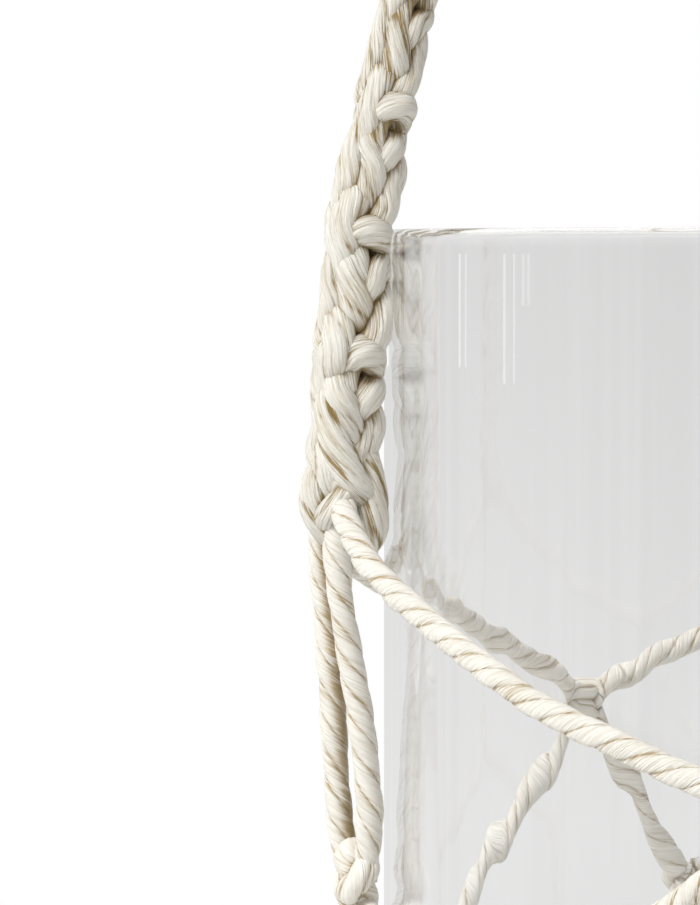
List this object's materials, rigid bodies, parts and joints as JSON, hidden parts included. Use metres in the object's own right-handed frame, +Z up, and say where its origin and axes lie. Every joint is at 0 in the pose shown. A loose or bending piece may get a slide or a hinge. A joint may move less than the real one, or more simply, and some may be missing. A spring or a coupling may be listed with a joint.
{
  "type": "hanging lantern",
  "caption": "Hanging lantern: a clear glass cylinder for a candle, held in a knotted cotton cord net with three arms below a wooden ring.",
  "frame": {"origin": "the point inside the top of the wooden ring where a hook bears", "axes": "+Z up along the lantern's axis, the ring upright in the X-Z plane, the arm called left towards -X"},
  "size_m": [0.1671, 0.1667, 0.7179],
  "materials": {
    "beech": "turned and oiled, satin",
    "cotton": "natural three-strand cotton cord, matt",
    "glass": "clear, fire-polished rim",
    "wax": "ivory wax, satin",
    "wick": "braided cotton, matt"
  },
  "bodies": {
    "ring": {"hanging_ring": "beech"},
    "lantern": {"ring_loops": "cotton", "neck_cords": "cotton", "gathering_wrap": "cotton", "arm_left": "cotton", "arm_back": "cotton", "arm_front": "cotton", "end_knot_left": "cotton", "end_knot_back": "cotton", "end_knot_front": "cotton", "side_cords_left": "cotton", "side_cords_back": "cotton", "side_cords_front": "cotton", "down_cords_left": "cotton", "down_cords_back": "cotton", "down_cords_front": "cotton", "side_knot_1": "cotton", "side_knot_2": "cotton", "side_knot_3": "cotton", "down_knot_left": "cotton", "down_knot_back": "cotton", "down_knot_front": "cotton", "side_knot_cords_1": "cotton", "side_knot_cords_2": "cotton", "side_knot_cords_3": "cotton", "down_knot_cords_left": "cotton", "down_knot_cords_back": "cotton", "down_knot_cords_front": "cotton", "low_knot_1": "cotton", "low_knot_2": "cotton", "low_knot_3": "cotton", "low_knot_4": "cotton", "low_knot_5": "cotton", "low_knot_6": "cotton", "base_cords_1": "cotton", "base_cords_2": "cotton", "base_cords_3": "cotton", "base_cords_4": "cotton", "base_cords_5": "cotton", "base_cords_6": "cotton", "base_wrap": "cotton", "tassel": "cotton", "glass": "glass"},
    "candle": {"candle": "wax", "wick": "wick"}
  },
  "joints": [
    {"name": "lantern_swing", "type": "hinge", "parent": "ring", "child": "lantern", "pos_m": [0, 0, -0.0545], "axis": [1, 0, 0], "range_deg": [-40, 40]},
    {"name": "candle_lift", "type": "slide", "parent": "lantern", "child": "candle", "axis": [0, 0, 1], "range_m": [0, 0.2]}
  ]
}
